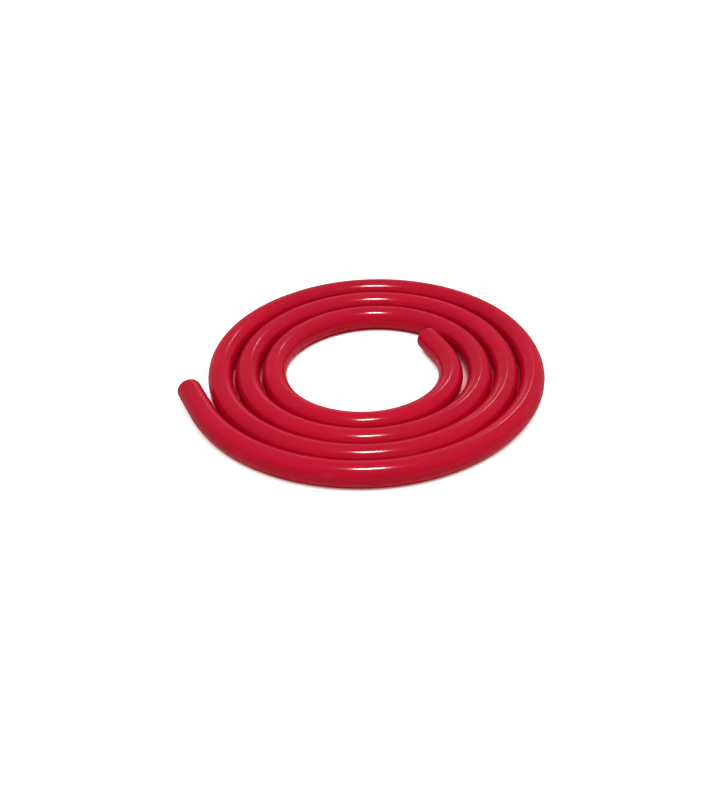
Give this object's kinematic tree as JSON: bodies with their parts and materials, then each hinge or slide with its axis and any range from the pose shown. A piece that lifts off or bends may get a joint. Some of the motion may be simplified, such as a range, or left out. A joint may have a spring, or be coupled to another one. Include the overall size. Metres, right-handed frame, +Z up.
{
  "type": "rubber vacuum tubing",
  "caption": "Coil of heavy-walled rubber tubing that carries vacuum between lab apparatus; its round bore pushes over hose nozzles at either end.",
  "frame": {"origin": "on the surface that the coil lies on, under the middle of the coil's box", "axes": "+Z up, out of the flat coil; the outer end lies at the -X side and points towards +Y, and the inner end lies inside the coil at its +X and +Y side"},
  "size_m": [0.24, 0.2436, 0.016],
  "materials": {
    "red_rubber": "smooth extruded rubber with a satin gloss"
  },
  "bodies": {
    "root": {"vacuum_tubing": "red_rubber"}
  },
  "joints": []
}
